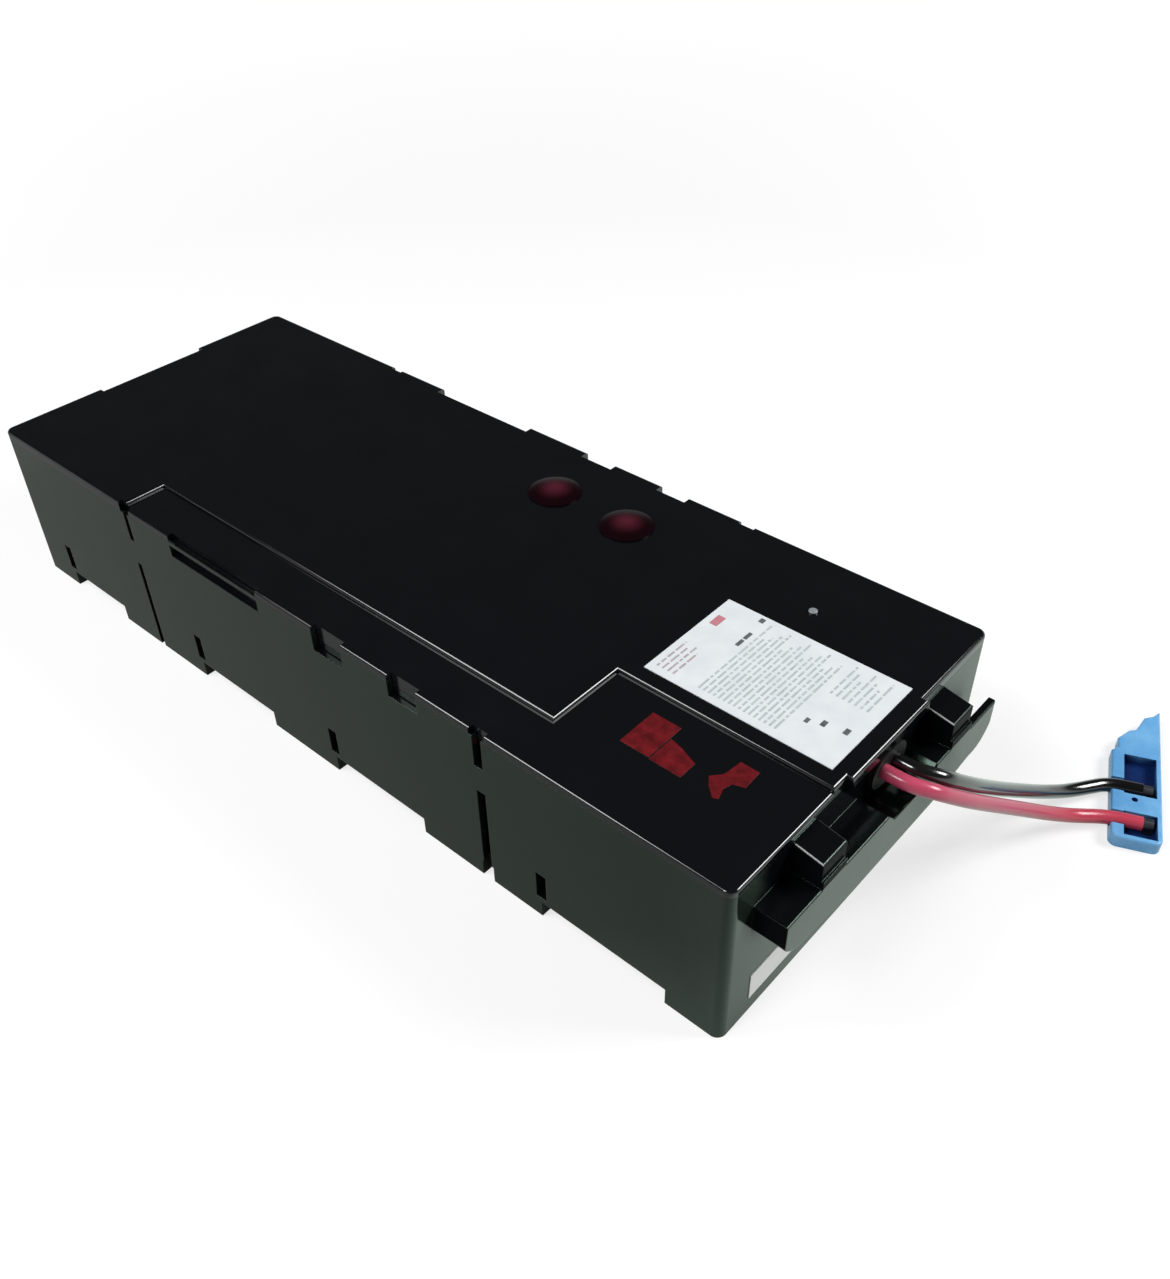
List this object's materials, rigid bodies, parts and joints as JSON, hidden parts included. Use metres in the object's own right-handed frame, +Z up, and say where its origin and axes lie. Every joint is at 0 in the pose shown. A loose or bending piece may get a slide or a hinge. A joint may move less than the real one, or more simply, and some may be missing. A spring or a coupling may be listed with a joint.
{
  "type": "ups battery cartridge",
  "caption": "Black plastic battery cartridge for an uninterruptible power supply, with red and black leads to a blue plug",
  "frame": {"origin": "centre of the footprint of the case with its pull bar, on the plane of the feet, leads and plug left out", "axes": "+X along the case to the cable end, +Z up, -Y to the long side with the wiring channel and the lowered strip of the cover"},
  "size_m": [0.5252, 0.2589, 0.085],
  "materials": {
    "black_case": "smooth glossy moulded plastic",
    "red_plug": "glossy moulded plastic",
    "white_label": "satin plastic sticker",
    "battery_case": "fine matte moulded plastic",
    "tin_plate": "tin-plated metal",
    "nylon_sleeve": "translucent nylon",
    "red_insulation": "soft glossy cable insulation",
    "black_insulation": "soft glossy cable insulation",
    "black_rubber": "soft matte rubber",
    "blue_housing": "smooth moulded plastic",
    "silver_contact": "silver-plated copper",
    "grey_foam": "open foam"
  },
  "bodies": {
    "root": {"base_tray": "black_case", "top_cover": "black_case", "red_plug_a": "red_plug", "red_plug_b": "red_plug", "top_label": "white_label", "end_label": "white_label", "cable_grommet": "black_rubber", "jumper_1_2": "black_insulation", "jumper_2_3": "black_insulation", "jumper_3_4": "black_insulation", "red_lead_inner": "red_insulation", "black_lead_inner": "black_insulation", "red_lead": "red_insulation", "black_lead": "black_insulation", "connector_housing": "blue_housing", "contact_red": "silver_contact", "contact_black": "silver_contact", "battery_1": "battery_case", "terminal_tabs_1": "tin_plate", "tab_sleeves_1": "nylon_sleeve", "foam_pad_1": "grey_foam", "battery_2": "battery_case", "terminal_tabs_2": "tin_plate", "tab_sleeves_2": "nylon_sleeve", "foam_pad_2": "grey_foam", "battery_3": "battery_case", "terminal_tabs_3": "tin_plate", "tab_sleeves_3": "nylon_sleeve", "foam_pad_3": "grey_foam", "battery_4": "battery_case", "terminal_tabs_4": "tin_plate", "tab_sleeves_4": "nylon_sleeve", "foam_pad_4": "grey_foam"}
  },
  "joints": []
}
